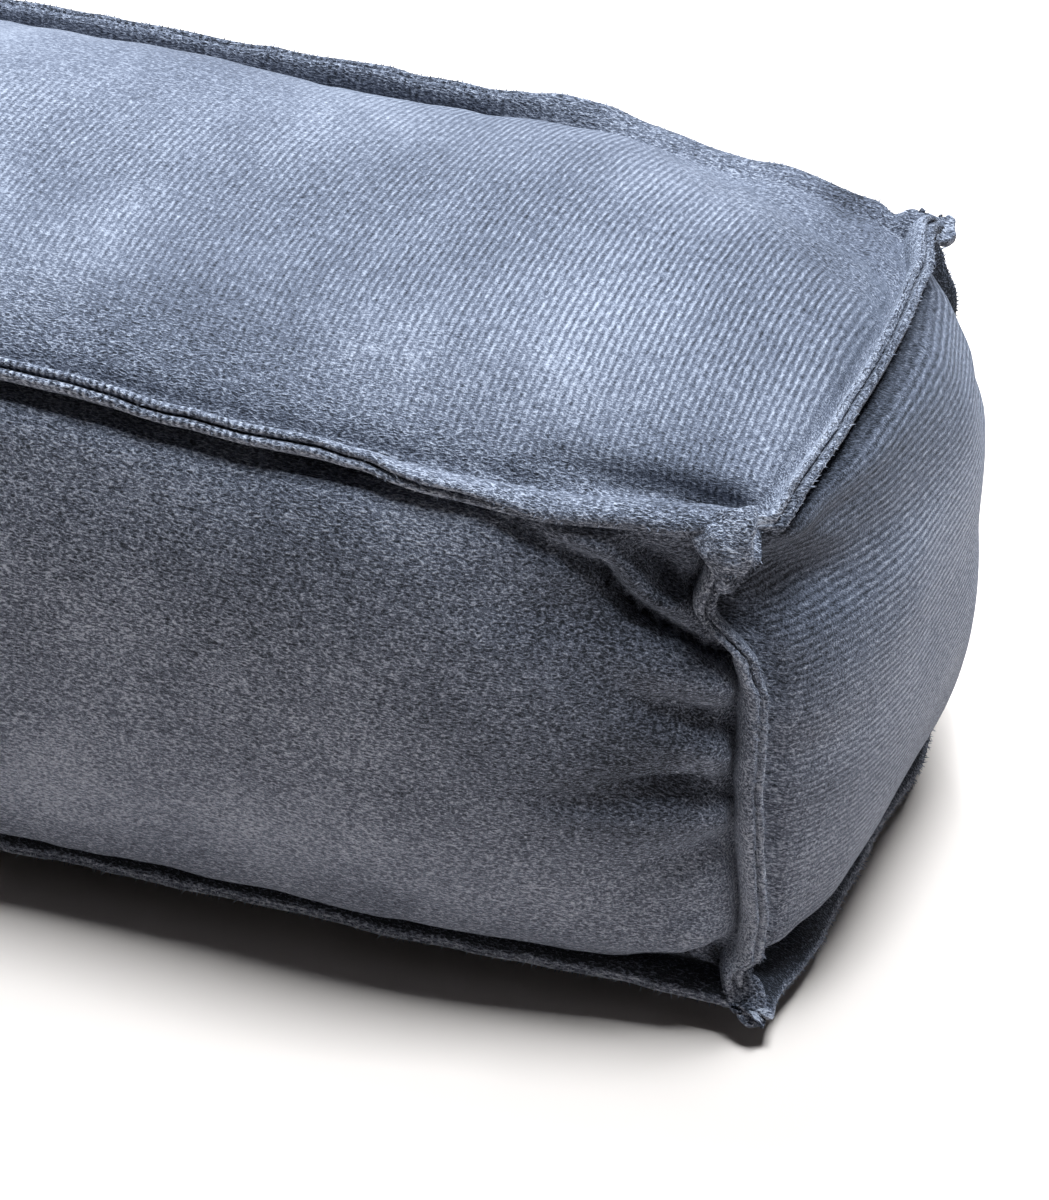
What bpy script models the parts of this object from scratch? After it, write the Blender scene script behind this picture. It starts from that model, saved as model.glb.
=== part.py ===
"""Draught excluder: a long bolster of ribbed velvet with a box section.

Six cut panels meet in twelve pinched edges. Along each edge the two panels are turned
out, pressed together and stitched through a few millimetres below the fold, so that a
double ridge with a slit along its top stands out on the diagonal. The cover is filled
firmly: each panel is crowned between its stitch lines, and the underside is flat where
it lies on the floor. The right end has the creases of a cover that is full and a little
twisted at its corners.

Metres. X runs along the bolster, -Y is the front and Z is up, with the floor at zero.
"""

import math

import bmesh
import bpy
from mathutils import Vector

MM = 0.001

# Driving sizes, measured between stitch lines.
LENGTH = 880 * MM
DEPTH = 100 * MM
BASE_SEAM_HEIGHT = 9.5 * MM
TOP_SEAM_HEIGHT = 104 * MM

# How far each panel stands out from its stitch lines where it is fullest.
CROWN = {
    "top": 15 * MM,
    "bottom": 14 * MM,
    "front": 15 * MM,
    "back": 13 * MM,
    "right": 18 * MM,
    "left": 17 * MM,
}
CROWN_ROUNDNESS = 2.5
END_FULLNESS_REACH = 75 * MM
SAG = {"top": -0.05, "front": 0.06, "back": 0.06, "right": -0.05, "left": 0.03}

# How a panel comes up from its stitch lines, as a power: a low one is a steep shoulder and
# one is an even slope. Columns: at its lower or front stitch line, at its upper or back one.
STEEP = 0.4
DRAWN_IN = 0.62
EVEN = 0.95
SHOULDERS = {"top": (EVEN, STEEP), "right": (DRAWN_IN, STEEP)}
# Near the right end the top panel lies in a flat facet that runs out to its back corner.
FACET_REACH = 95 * MM

# Section of a pinched edge: height above the stitch line and half thickness there.
EDGE_LEVELS = (
    (6.2 * MM, 0.0),
    (6.9 * MM, 1.4 * MM),
    (3.7 * MM, 2.15 * MM),
    (0.0, 0.9 * MM),
)
STITCH_LEVEL = len(EDGE_LEVELS) - 1
CORNER_REACH = 1.15

# Cuts across the panels, in millimetres from a stitch line.
RIGHT_CUTS = (0, 3, 6, 9.5, 13, 17, 21, 25.5, 30.5, 36, 43, 52, 63, 77, 94, 114, 140, 170)
LEFT_CUTS = (0, 4, 9, 16, 27, 42, 60, 85)
MIDDLE_CUTS = 14
SECTION_SHARES = (0, 0.03, 0.065, 0.105, 0.15, 0.2, 0.26, 0.33, 0.41)
CREASED_SHARES = (0.64, 0.705, 0.77, 0.825)

# Each panel lies across one axis, on its low or high side.
X_AXIS, Y_AXIS, Z_AXIS = range(3)
PANELS = {
    "top": (Z_AXIS, 1),
    "bottom": (Z_AXIS, -1),
    "front": (Y_AXIS, -1),
    "back": (Y_AXIS, 1),
    "right": (X_AXIS, 1),
    "left": (X_AXIS, -1),
}

# Where the stitch lines meet, against the plain box: x, y and z in millimetres. The shift
# fades out along each seam within the corner's reach.
CORNER_SHIFTS = {
    ("right", "front", "top"): (0, 4.5, -1.5),
    ("right", "back", "top"): (0, -7, -5),
    ("right", "front", "bottom"): (1, 2, 0),
    ("right", "back", "bottom"): (3, -5, 0),
    ("left", "front", "top"): (0, 5, -1),
    ("left", "back", "top"): (0, -5, -1),
    ("left", "front", "bottom"): (0, 3, 0),
    ("left", "back", "bottom"): (0, -4, 0),
}
CORNER_SHIFT_REACH = 60 * MM
BOW_REACH = 60 * MM

# How each stitch line leaves the plain box between its corners. Seams along X are measured
# from the right end, along Y from the front and along Z from the base, in millimetres.
# Columns: distance, shift on the seam's first cross axis, shift on its second, and lean of
# the pinched edge towards the second axis in degrees.
SEAM_SHAPES = {
    ("front", "top"): (
        (0, 0, 0, 0),
        (30, -1, -2.5, 0),
        (60, -1, -2, 0),
        (135, -1, 1, 0),
        (LENGTH / MM, 0, 0, 0),
    ),
    ("back", "top"): (
        (0, 0, 0, 0),
        (21, 0, 1.5, -20),
        (35, -1, -1, -24),
        (52, -1, -1, -20),
        (72, -1, -2, -18),
        (95, -1, -2.8, -15),
        (125, -1, -3.2, -8),
        (155, -1, -2, -12),
        (240, -0.5, -1, -8),
        (LENGTH / MM, 0, 0, 0),
    ),
    ("front", "bottom"): (
        (0, 0, 0, -15),
        (60, -0.5, 0, -18),
        (LENGTH / MM - 60, -0.5, 0, -18),
        (LENGTH / MM, 0, 0, -15),
    ),
    ("back", "bottom"): (
        (0, 0, 0, -15),
        (60, 0, 0, -18),
        (LENGTH / MM - 60, 0, 0, -18),
        (LENGTH / MM, 0, 0, -15),
    ),
    ("right", "top"): (
        (0, 0, 0, 0),
        (30, 3.5, 0, 0),
        (60, 4, 0, 0),
        (96, 0, 0, 0),
    ),
    ("right", "bottom"): (
        (0, 0, 0, -12),
        (15, 3, 0, -12),
        (65, 5, 0, -12),
        (96, 0, 0, -12),
    ),
    ("left", "bottom"): (
        (0, 0, 0, -12),
        (96, 0, 0, -12),
    ),
    ("right", "front"): (
        (0, 0, 0, 0),
        (14, -0.5, 0, 0),
        (66, 0.2, 0, 0),
        (82, -8, 0, 10),
        (96, 0, 0, 0),
    ),
}
LONG_WAVE = 0.8 * MM
LONG_WAVE_LENGTHS = (173 * MM, 109 * MM)

# Tip of each corner, beyond the plain mitre of its three edges: x, y and z in millimetres.
CORNER_TIPS = {
    ("right", "front", "top"): (1.2, 0, -4),
    ("right", "back", "top"): (1.5, 1, -2),
    ("right", "front", "bottom"): (0, -1, -1.5),
}

# Creases and ridges. Long panels are measured from the right end and from their lower or
# front stitch line, the end panel from its front and lower stitch lines, in millimetres.
# Columns: panel, start, end, rise at the start, rise at the end, half width.
CREASES = (
    ("front", (2, 72), (16, 87), -5.0, -4.5, 4.2),
    ("front", (16, 87), (34, 97), -4.5, -1.5, 4.2),
    ("front", (3, 79), (21, 94), 3.0, 1.5, 4.5),
    ("front", (1, 84), (13, 96), -4.0, -2.0, 3.6),
    ("front", (1, 68), (11, 73), 2.5, 0.5, 4.0),
    ("front", (0, 60), (12, 64), -3.5, -0.5, 3.5),
    ("front", (1, 53), (12, 57), 2.0, 0.5, 4.0),
    ("front", (0, 45), (17, 48), -4.0, -1.5, 4.0),
    ("front", (1, 33), (11, 28), -1.5, -0.5, 4.0),
    ("front", (0, 8), (10, 3), -3.0, -1.0, 3.5),
    ("top", (4, 93), (32, 97), -5.0, -2.0, 6.0),
    ("top", (2, 83), (42, 94), 1.5, 0.5, 3.5),
    ("top", (3, 5), (17, 5), -3.0, -1.0, 4.0),
    ("right", (4, 88), (16, 78), -2.5, -0.5, 4.0),
    ("right", (6, 97), (20, 84), 2.0, 0.5, 4.0),
    ("right", (92, 84), (80, 74), -3.0, -0.5, 4.0),
)
CREASE_CLEARANCE = 4 * MM

COLLECTION = "draught_excluder"
VELVET = "ribbed_velvet"
VELVET_COLOUR = (0.21, 0.26, 0.37, 1.0)


def clear_scene():
    for obj in list(bpy.data.objects):
        bpy.data.objects.remove(obj, do_unlink=True)


def smooth(share):
    share = min(max(share, 0.0), 1.0)
    return share * share * (3 - 2 * share)


def mix(low, high, share):
    return low * (1 - share) + high * share


def panel_named(axis, side):
    return next(name for name, place in PANELS.items() if place == (axis, side))


def by_axis(names):
    return tuple(sorted(names, key=lambda name: PANELS[name][0]))


def cuts_along_bolster():
    """Shares of the length at which the long panels are cut, from the left end."""
    left = [cut * MM / LENGTH for cut in LEFT_CUTS]
    right = [1 - cut * MM / LENGTH for cut in reversed(RIGHT_CUTS)]
    step = (right[0] - left[-1]) / MIDDLE_CUTS
    middle = [left[-1] + step * index for index in range(1, MIDDLE_CUTS)]
    return left + middle + right


def cuts_across_section(extra=()):
    """Shares of the section's depth or height at which the panels are cut."""
    low = list(SECTION_SHARES) + [0.5]
    return sorted(low + [1 - share for share in SECTION_SHARES] + list(extra))


SHARES = (cuts_along_bolster(), cuts_across_section(), cuts_across_section(CREASED_SHARES))
CELLS = tuple(len(shares) - 1 + 2 * STITCH_LEVEL for shares in SHARES)


def place_on_axis(axis, index):
    """Level on a pinched edge, side of the box that it is nearest to, and share of the panel."""
    last = CELLS[axis]
    side = -1 if index <= last / 2 else 1
    level = min(index, last - index, STITCH_LEVEL)
    inner = min(max(index - STITCH_LEVEL, 0), len(SHARES[axis]) - 1)
    return level, side, SHARES[axis][inner]


def corner_between(names):
    """Where three stitch lines would meet on the plain box, and how far they are shifted."""
    sides = [PANELS[name][1] for name in names]
    height = TOP_SEAM_HEIGHT if sides[Z_AXIS] > 0 else BASE_SEAM_HEIGHT
    plain = Vector((sides[X_AXIS] * LENGTH / 2, sides[Y_AXIS] * DEPTH / 2, height))
    return plain, Vector(CORNER_SHIFTS[names]) * MM


def seam_row(names, share):
    """Shift on each cross axis, and lean, of a seam at a share of its length."""
    rows = SEAM_SHAPES.get(names)
    if rows is None:
        return 0.0, 0.0, 0.0
    along = 1 - share if X_AXIS not in [PANELS[name][0] for name in names] else share
    distance = along * rows[-1][0]
    for low, high in zip(rows, rows[1:]):
        if distance <= high[0]:
            step = smooth((distance - low[0]) / (high[0] - low[0]))
            return tuple(mix(low[column], high[column], step) for column in (1, 2, 3))
    return rows[-1][1:]


def seam_frame(names, share):
    """Centre of a stitch line, the way its pinched edge points, and the way across it."""
    first, second = names
    first_axis, first_side = PANELS[first]
    second_axis, second_side = PANELS[second]
    run_axis = ({X_AXIS, Y_AXIS, Z_AXIS} - {first_axis, second_axis}).pop()
    low, low_shift = corner_between(by_axis((first, second, panel_named(run_axis, -1))))
    high, high_shift = corner_between(by_axis((first, second, panel_named(run_axis, 1))))
    first_shift, second_shift, lean = seam_row(names, share)
    reach = (high - low).length / CORNER_SHIFT_REACH
    centre = mix(low, high, share) + low_shift * smooth(1 - share * reach)
    centre += high_shift * smooth(1 - (1 - share) * reach)
    centre[first_axis] += first_shift * MM
    centre[second_axis] += second_shift * MM
    if run_axis == X_AXIS:
        fade = math.sin(math.pi * share)
        long_wave, short_wave = (2 * math.pi * centre.x / span for span in LONG_WAVE_LENGTHS)
        centre.z += LONG_WAVE * fade * math.sin(long_wave + first_side) * (second_side > 0)
        centre.y += LONG_WAVE * fade * math.sin(short_wave + second_side)
    angle = math.radians(45 + lean)
    out = Vector((0, 0, 0))
    out[first_axis] = first_side * math.cos(angle)
    out[second_axis] = second_side * math.sin(angle)
    across = Vector((0, 0, 0))
    across[first_axis] = -first_side * math.sin(angle)
    across[second_axis] = second_side * math.cos(angle)
    return centre, out, across


def edge_point(names, share, panel, level):
    """Point on the face of a pinched edge that belongs to one panel."""
    centre, out, across = seam_frame(names, share)
    height, half_thickness = EDGE_LEVELS[level]
    towards = 1 if panel == names[1] else -1
    return centre + out * height + across * half_thickness * towards


def corner_point(names, panel, level):
    """Point of one panel on the mitre where three pinched edges meet."""
    height, half_thickness = EDGE_LEVELS[level]
    sides = Vector([PANELS[name][1] for name in names])
    axis = PANELS[panel][0]
    across = -sides
    across[axis] = 2 * sides[axis]
    tip = Vector(CORNER_TIPS.get(names, (0, 0, 0))) * MM * height / EDGE_LEVELS[0][0]
    out = sides.normalized() * height * CORNER_REACH
    plain, shift = corner_between(names)
    return plain + shift + out + tip + across.normalized() * half_thickness


def rim_point(names, share, panel):
    """Point of a panel on its own stitch line, turned in at the corners."""
    if 0 < share < 1:
        return edge_point(names, share, panel, STITCH_LEVEL)
    run_axis = ({X_AXIS, Y_AXIS, Z_AXIS} - {PANELS[name][0] for name in names}).pop()
    end = panel_named(run_axis, 1 if share > 0.5 else -1)
    return corner_point(by_axis(names + (end,)), panel, STITCH_LEVEL)


def rim_bow(names, share, panel):
    """How far a panel's rim leaves the straight line between the panel's corners."""
    straight = mix(rim_point(names, 0, panel), rim_point(names, 1, panel), share)
    return rim_point(names, share, panel) - straight


def arch(share, shoulders=(STEEP, STEEP)):
    """Rise of a full panel across its width, from 0 at the stitch lines to 1."""
    middle_half = 2 * share - 0.5
    shoulder = mix(shoulders[0], shoulders[1], smooth(middle_half))
    return (1 - abs(2 * share - 1) ** CROWN_ROUNDNESS) ** shoulder


def end_fullness(share):
    """Rise of a long panel from its short ends, from 0 to 1."""
    reach = min(share, 1 - share) * LENGTH / END_FULLNESS_REACH
    return arch(min(reach, 1) / 2)


def crease_rise(panel, along, up):
    """Height of the creases at a point given in metres from the panel's own corner."""
    rise = 0.0
    for name, start, end, start_rise, end_rise, half_width in CREASES:
        if name != panel:
            continue
        start = Vector(start) * MM
        run = Vector(end) * MM - start
        offset = Vector((along, up)) - start
        share = min(max(offset.dot(run) / run.length_squared, 0), 1)
        distance = (offset - run * share).length
        rise += mix(start_rise, end_rise, share) * math.exp(-((distance / (half_width * MM)) ** 2)) * MM
    return rise


def panel_point(panel, shares):
    """Point of a panel inside its stitch lines."""
    axis, side = PANELS[panel]
    u_axis, v_axis = (other for other in (X_AXIS, Y_AXIS, Z_AXIS) if other != axis)
    u, v = shares[u_axis], shares[v_axis]
    u_low, u_high = panel_named(u_axis, -1), panel_named(u_axis, 1)
    v_low, v_high = panel_named(v_axis, -1), panel_named(v_axis, 1)
    size = (LENGTH if u_axis == X_AXIS else DEPTH) / BOW_REACH
    point = mix(
        rim_point(by_axis((panel, v_low)), u, panel), rim_point(by_axis((panel, v_high)), u, panel), v
    )
    point += rim_bow(by_axis((panel, u_low)), v, panel) * smooth(1 - u * size)
    point += rim_bow(by_axis((panel, u_high)), v, panel) * smooth(1 - (1 - u) * size)
    v += SAG.get(panel, 0) * math.sin(math.pi * v)
    shoulders = SHOULDERS.get(panel, (STEEP, STEEP))
    if u_axis == X_AXIS:
        along = (1 - u) * LENGTH
        if panel == "top":
            facet = smooth(1 - along / FACET_REACH)
            shoulders = (shoulders[0], mix(shoulders[1], EVEN, facet))
        fullness = end_fullness(u) * arch(v, shoulders)
    else:
        along = u * DEPTH
        fullness = arch(u) * arch(v, shoulders)
    up = shares[v_axis] * DEPTH
    clear = min(shares[u_axis], 1 - shares[u_axis]) * (LENGTH if u_axis == X_AXIS else DEPTH)
    clear = min(clear, min(shares[v_axis], 1 - shares[v_axis]) * DEPTH)
    rise = CROWN[panel] * fullness + crease_rise(panel, along, up) * smooth(clear / CREASE_CLEARANCE)
    point[axis] += side * rise
    return point


def cover_point(index):
    """Place of a vertex of the cut box, given its three cut numbers."""
    axis = next(axis for axis in (Z_AXIS, Y_AXIS, X_AXIS) if index[axis] in (0, CELLS[axis]))
    panel = panel_named(axis, 1 if index[axis] else -1)
    places = [place_on_axis(other, index[other]) for other in (X_AXIS, Y_AXIS, Z_AXIS)]
    shares = [place[2] for place in places]
    others = [other for other in (X_AXIS, Y_AXIS, Z_AXIS) if other != axis]
    levels = {other: places[other][0] for other in others}
    if min(levels.values()) == STITCH_LEVEL:
        return panel_point(panel, shares)
    near = min(others, key=lambda other: levels[other])
    far = max(others, key=lambda other: levels[other])
    if near == far:
        far = next(other for other in others if other != near)
    level = levels[near]
    seam = by_axis((panel, panel_named(near, places[near][1])))
    if levels[far] == STITCH_LEVEL:
        along = shares[far]
        if along in (0, 1) and level == STITCH_LEVEL:
            return rim_point(seam, along, panel)
        return edge_point(seam, along, panel, level)
    names = by_axis((panel, panel_named(near, places[near][1]), panel_named(far, places[far][1])))
    mitre = corner_point(names, panel, level)
    seam_end = edge_point(seam, 0 if places[far][1] < 0 else 1, panel, level)
    return mix(mitre, seam_end, (levels[far] - level) / (STITCH_LEVEL - level))


def cut_box():
    """A box of one-unit cells, cut at every whole number along its three axes."""
    mesh = bmesh.new()
    bmesh.ops.create_cube(mesh, size=1)
    bmesh.ops.translate(mesh, verts=mesh.verts, vec=(0.5, 0.5, 0.5))
    bmesh.ops.scale(mesh, verts=mesh.verts, vec=CELLS)
    for axis, cells in enumerate(CELLS):
        normal = Vector((0, 0, 0))
        normal[axis] = 1
        for cut in range(1, cells):
            everything = list(mesh.verts) + list(mesh.edges) + list(mesh.faces)
            bmesh.ops.bisect_plane(mesh, geom=everything, plane_co=normal * cut, plane_no=normal)
    return mesh


def velvet():
    material = bpy.data.materials.new(VELVET)
    material.use_nodes = True
    surface = material.node_tree.nodes["Principled BSDF"]
    surface.inputs["Base Color"].default_value = VELVET_COLOUR
    surface.inputs["Roughness"].default_value = 0.9
    surface.inputs["Sheen Weight"].default_value = 0.5
    return material


def centre_over_origin(shape):
    """Moves a shape level, so that the middle of its extent is over the origin."""
    for axis in (X_AXIS, Y_AXIS):
        places = [vertex.co[axis] for vertex in shape.verts]
        shift = Vector((0, 0, 0))
        shift[axis] = -(min(places) + max(places)) / 2
        bmesh.ops.translate(shape, verts=shape.verts, vec=shift)


def filled_cover():
    """The whole cover with its filling, as one closed solid."""
    shape = cut_box()
    for vertex in shape.verts:
        point = cover_point([round(value) for value in vertex.co])
        point.z = max(point.z, 0)
        vertex.co = point
    centre_over_origin(shape)
    bmesh.ops.recalc_face_normals(shape, faces=shape.faces)
    mesh = bpy.data.meshes.new("filled_cover")
    shape.to_mesh(mesh)
    shape.free()
    mesh.materials.append(velvet())
    return bpy.data.objects.new("filled_cover", mesh)


def main():
    clear_scene()
    collection = bpy.data.collections.new(COLLECTION)
    bpy.context.scene.collection.children.link(collection)
    collection.objects.link(filled_cover())


main()
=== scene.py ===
import math
from functools import lru_cache, partial
from itertools import product

import bpy
import numpy as np
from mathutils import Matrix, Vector


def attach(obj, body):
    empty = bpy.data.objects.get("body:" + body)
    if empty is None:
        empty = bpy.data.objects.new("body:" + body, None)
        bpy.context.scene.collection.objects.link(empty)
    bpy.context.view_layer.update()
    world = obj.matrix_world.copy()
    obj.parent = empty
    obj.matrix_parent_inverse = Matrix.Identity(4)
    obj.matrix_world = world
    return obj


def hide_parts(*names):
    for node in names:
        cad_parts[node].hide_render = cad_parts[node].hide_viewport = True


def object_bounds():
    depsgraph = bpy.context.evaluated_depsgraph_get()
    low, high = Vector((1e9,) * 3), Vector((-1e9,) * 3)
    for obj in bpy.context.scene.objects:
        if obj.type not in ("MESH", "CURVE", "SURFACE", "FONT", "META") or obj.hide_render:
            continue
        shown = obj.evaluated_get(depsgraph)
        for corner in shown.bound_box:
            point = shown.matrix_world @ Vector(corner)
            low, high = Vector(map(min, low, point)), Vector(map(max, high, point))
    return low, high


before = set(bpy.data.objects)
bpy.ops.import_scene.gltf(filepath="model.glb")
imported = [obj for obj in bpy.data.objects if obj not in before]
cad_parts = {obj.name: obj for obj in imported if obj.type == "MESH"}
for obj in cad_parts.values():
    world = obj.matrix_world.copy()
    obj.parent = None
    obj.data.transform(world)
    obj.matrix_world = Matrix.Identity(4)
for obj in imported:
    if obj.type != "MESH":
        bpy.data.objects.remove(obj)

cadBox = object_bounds()
mm = 0.001
xAxis, yAxis, zAxis = axes = (0, 1, 2)
print("frame loaded, box", *cadBox)


# small helpers

def deselectAll():
    bpy.ops.object.select_all(action="DESELECT")


def mix(low, high, share):
    return low * (1 - share) + high * share


def smooth(share):
    share = np.clip(share, 0, 1)
    return share * share * (3 - 2 * share)


def ramp(value, start, full):
    # 0 up to a span's start, 1 past its end
    return smooth((value - start) / (full - start))


def hashed(column, row, seed):
    # the same value from -1 to 1 each run for a whole-numbered place
    value = np.sin(column * 127.1 + row * 311.7 + seed * 74.7) * 43758.5453
    return 2 * (value - np.floor(value)) - 1


def softNoise(x, y, seed):
    # smooth noise from -1 to 1 over arrays of places
    column, row = np.floor(x), np.floor(y)
    across, up = smooth(x - column), smooth(y - row)
    low = mix(hashed(column, row, seed), hashed(column + 1, row, seed), across)
    high = mix(hashed(column, row + 1, seed), hashed(column + 1, row + 1, seed), across)
    return mix(low, high, up)


def linearColour(hexText):
    # sRGB hex to the linear values of a shader
    parts = [int(hexText[place:place + 2], 16) / 255 for place in (1, 3, 5)]
    linear = [part / 12.92 if part <= 0.04045 else ((part + 0.055) / 1.055) ** 2.4 for part in parts]
    return (*linear, 1)


def setSockets(node, values):
    for name, value in values.items():
        node.inputs[name].default_value = value


def newMaterial(name, values):
    material = bpy.data.materials.new(name)
    material.use_nodes = True
    setSockets(material.node_tree.nodes["Principled BSDF"], values)
    return material


def addNode(tree, kind, settings=None, values=None, links=None):
    # settings are the node's own, values go on its sockets, links come from other sockets
    node = tree.nodes.new("ShaderNode" + kind)
    for name, value in (settings or {}).items():
        setattr(node, name, value)
    setSockets(node, values or {})
    for name, source in (links or {}).items():
        tree.links.new(source, node.inputs[name])
    return node


def unit(vector):
    return vector / np.linalg.norm(vector)


def addAimed(name, data, place, back):
    # a camera or light that looks away from back
    obj = bpy.data.objects.new(name, data)
    bpy.context.scene.collection.objects.link(obj)
    obj.location = place
    obj.rotation_euler = back.to_track_quat("Z", "Y").to_euler()
    return obj


def readAll(items, name, width=1, kind=float):
    # one value, or one row of values, for each item of a mesh
    values = np.empty(len(items) * width, kind)
    items.foreach_get(name, values)
    return values if width == 1 else values.reshape(-1, width)


def fillAttributes(mesh, values):
    # one value for all points of a mesh, or an array with one for each
    for name, value in values.items():
        points = mesh.attributes.new(name, "FLOAT", "POINT").data
        points.foreach_set("value", np.full(len(points), value, float))


def turnNormalsOut():
    # on the active object
    bpy.ops.object.mode_set(mode="EDIT")
    bpy.ops.mesh.select_all(action="SELECT")
    bpy.ops.mesh.normals_make_consistent(inside=False)
    bpy.ops.object.mode_set(mode="OBJECT")


# camera: the photograph's angle, with the right end of the bolster filling the picture

cameraView = {
    "azimuth": 19.6,  # degrees round from the front
    "elevation": 37.2,
    "distance": 1.3,  # metres
    "target": (0.3826, 0.0014, 0.040),
    "pixelsPerMetre": 5740,  # at the target
    "pictureSide": 1200,  # the longer side of the 1049 x 1200 picture
    "sensor": 36,  # mm
    "clipEnd": 20,  # metres
}


def makeCamera(view):
    turn, rise = math.radians(view["azimuth"]), math.radians(view["elevation"])
    back = Vector((math.sin(turn) * math.cos(rise), -math.cos(turn) * math.cos(rise), math.sin(rise)))
    data = bpy.data.cameras.new("photoCamera")
    data.sensor_width = view["sensor"]
    data.lens = view["pixelsPerMetre"] * view["distance"] / view["pictureSide"] * view["sensor"]
    data.clip_end = view["clipEnd"]
    place = Vector(view["target"]) + back * view["distance"]
    bpy.context.scene.camera = addAimed("photoCamera", data, place, back)


makeCamera(cameraView)


# stage: white paper floor, a soft light behind on the left, another above and a weak fill

stageLook = {
    "floorSide": 9,  # metres
    "floorDrop": 0.0002,  # metres below the underside
    "floorColour": "#e7dacf",
    "floorRoughness": 0.95,
    "floorGloss": 0.1,
    "surround": "#ffffff",
    "surroundStrength": 0.02,
    "lights": {  # place and sides in metres, watts
        "behindLight": ((-0.12, 0.71, 1.51), (0.7, 0.7), 52),
        "aboveLight": ((0.68, 0.05, 1.6), (0.5, 0.5), 38),
        "fillLight": ((2.1, -0.35, 0.75), (0.9, 0.9), 0.5),
    },
    "lightAim": (0.36, 0, 0.05),
    "lightTint": (0.9, 1, 1.105),  # linear red, green and blue
}


def addSoftLight(name, place, sides, watts, look):
    data = bpy.data.lights.new(name, "AREA")
    data.color = look["lightTint"]
    data.shape = "RECTANGLE"
    data.size, data.size_y = sides
    data.energy = watts
    addAimed(name, data, place, Vector(place) - Vector(look["lightAim"]))


def makeStage(look):
    deselectAll()
    level = cadBox[0].z - look["floorDrop"]
    bpy.ops.mesh.primitive_plane_add(size=look["floorSide"], location=(0, 0, level))
    floor = bpy.context.active_object
    floor.name = "paperFloor"
    bpy.ops.object.transform_apply()
    # matt, with hardly any gloss, so that the floor goes evenly to white
    floor.data.materials.append(newMaterial("mattWhitePaper", {
        "Base Color": linearColour(look["floorColour"]),
        "Roughness": look["floorRoughness"], "Specular IOR Level": look["floorGloss"],
    }))
    world = bpy.data.worlds.new("studio")
    bpy.context.scene.world = world
    world.use_nodes = True
    setSockets(world.node_tree.nodes["Background"], {
        "Color": linearColour(look["surround"]), "Strength": look["surroundStrength"],
    })
    for name, row in look["lights"].items():
        addSoftLight(name, *row, look)
    bpy.context.scene.view_settings.view_transform = "Standard"


makeStage(stageLook)
print("camera and stage ready")


# the cover: six panels and their pinched edges in one skin, in millimetres. X runs along the
# bolster towards its right end, -Y is the front, Z is up from the floor.

cover = {
    "length": 880,  # between the stitch lines of the two ends
    "depth": 100,  # between the stitch lines of front and back
    "baseSeam": 9.5,  # height of the lower stitch lines
    "topSeam": 104,
    "middleShift": (-2.68, 1.41),  # brings the whole thing's box over the origin
    "crown": {"top": 15, "bottom": 14, "front": 15, "back": 13, "right": 17.2, "left": 17},
    "roundness": 2.5,
    "steep": (0.4, 0.4),  # shoulders of a tight panel
    # how far in from the ends the long panels come up to full height, and their slope there
    "endRise": {"top": (88, 0.55), "front": (75, 0.46), "back": (75, 0.46), "bottom": (75, 0.46)},
    "even": 0.95,  # slope of a panel that runs gently to its edge
    "shoulders": {"top": (0.7, 0.57), "right": (0.62, 0.4)},  # lower or front edge, then the other
    "sag": {"top": 0.08, "front": 0.06, "back": 0.06, "right": -0.05, "left": 0.03},
    "endLead": 0.05,  # the end panels are fullest a little nearer the front
    "facetReach": 95,  # length of the flat facet towards the back corner of the right end
    "bowReach": 60,  # how far the bow of a short stitch line carries into its panel
    "cornerReach": 60,  # and a corner's shift along a stitch line
    "rollRise": 0.55,  # small roll of cloth beside a stitch line
    "rollReach": 2.4,
    "ribSkew": 0.07,  # the top's ribs run a little askew
    "skewSpan": (21, 91),  # from the right end, where they turn so
    "undulation": ((62, 0.9), (27, 0.35), (12, 0.1)),  # wavelength, height
    "undulationClear": 12,  # from the stitches to its full height
    "lengthCells": 202,
    "sectionCells": 46,
}

# side of a pinched edge, from the bottom of its slit over the lip and down to the stitches:
# height above the stitch line, half thickness
edgeSection = (
    (4.9, 0.05), (6.1, 0.18), (6.7, 0.42), (6.95, 1.05), (6.8, 1.7),
    (5.7, 2.2), (3.9, 2.25), (2.1, 1.75), (0.8, 1.1), (0, 0.9),
)
stitchLevel = len(edgeSection) - 1
lipLevel = 3
lipHeight = edgeSection[lipLevel][0]

# spacing of the mesh: distance from the right end, or from the front or base, and spacing there
lengthSpacing = ((0, 1.4), (25, 1.6), (175, 2.3), (260, 7), (780, 7), (860, 3), (880, 2))
sectionSpacing = ((0, 1.3), (12, 1.8), (50, 3), (88, 1.8), (100, 1.3))

panels = {
    "top": (zAxis, 1), "bottom": (zAxis, -1), "front": (yAxis, -1),
    "back": (yAxis, 1), "right": (xAxis, 1), "left": (xAxis, -1),
}

# where stitch lines meet, against the plain box
cornerShifts = {
    ("right", "front", "top"): (0, 4.5, -1.5),
    ("right", "back", "top"): (-1.9, -6, -4),
    ("right", "front", "bottom"): (1, 2, 0),
    ("right", "back", "bottom"): (3, -5, 0),
    ("left", "front", "top"): (0, 5, -1),
    ("left", "back", "top"): (0, -5, -1),
    ("left", "front", "bottom"): (0, 3, 0),
    ("left", "back", "bottom"): (0, -4, 0),
}

# tips of the corners against the middle of the three edge ends that meet there
cornerTips = {
    ("right", "front", "top"): (-3, 2.5, 0.5),
    ("right", "back", "top"): (2, 1, 0),
    ("right", "front", "bottom"): (3.6, -2.8, -0.8),
}

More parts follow.
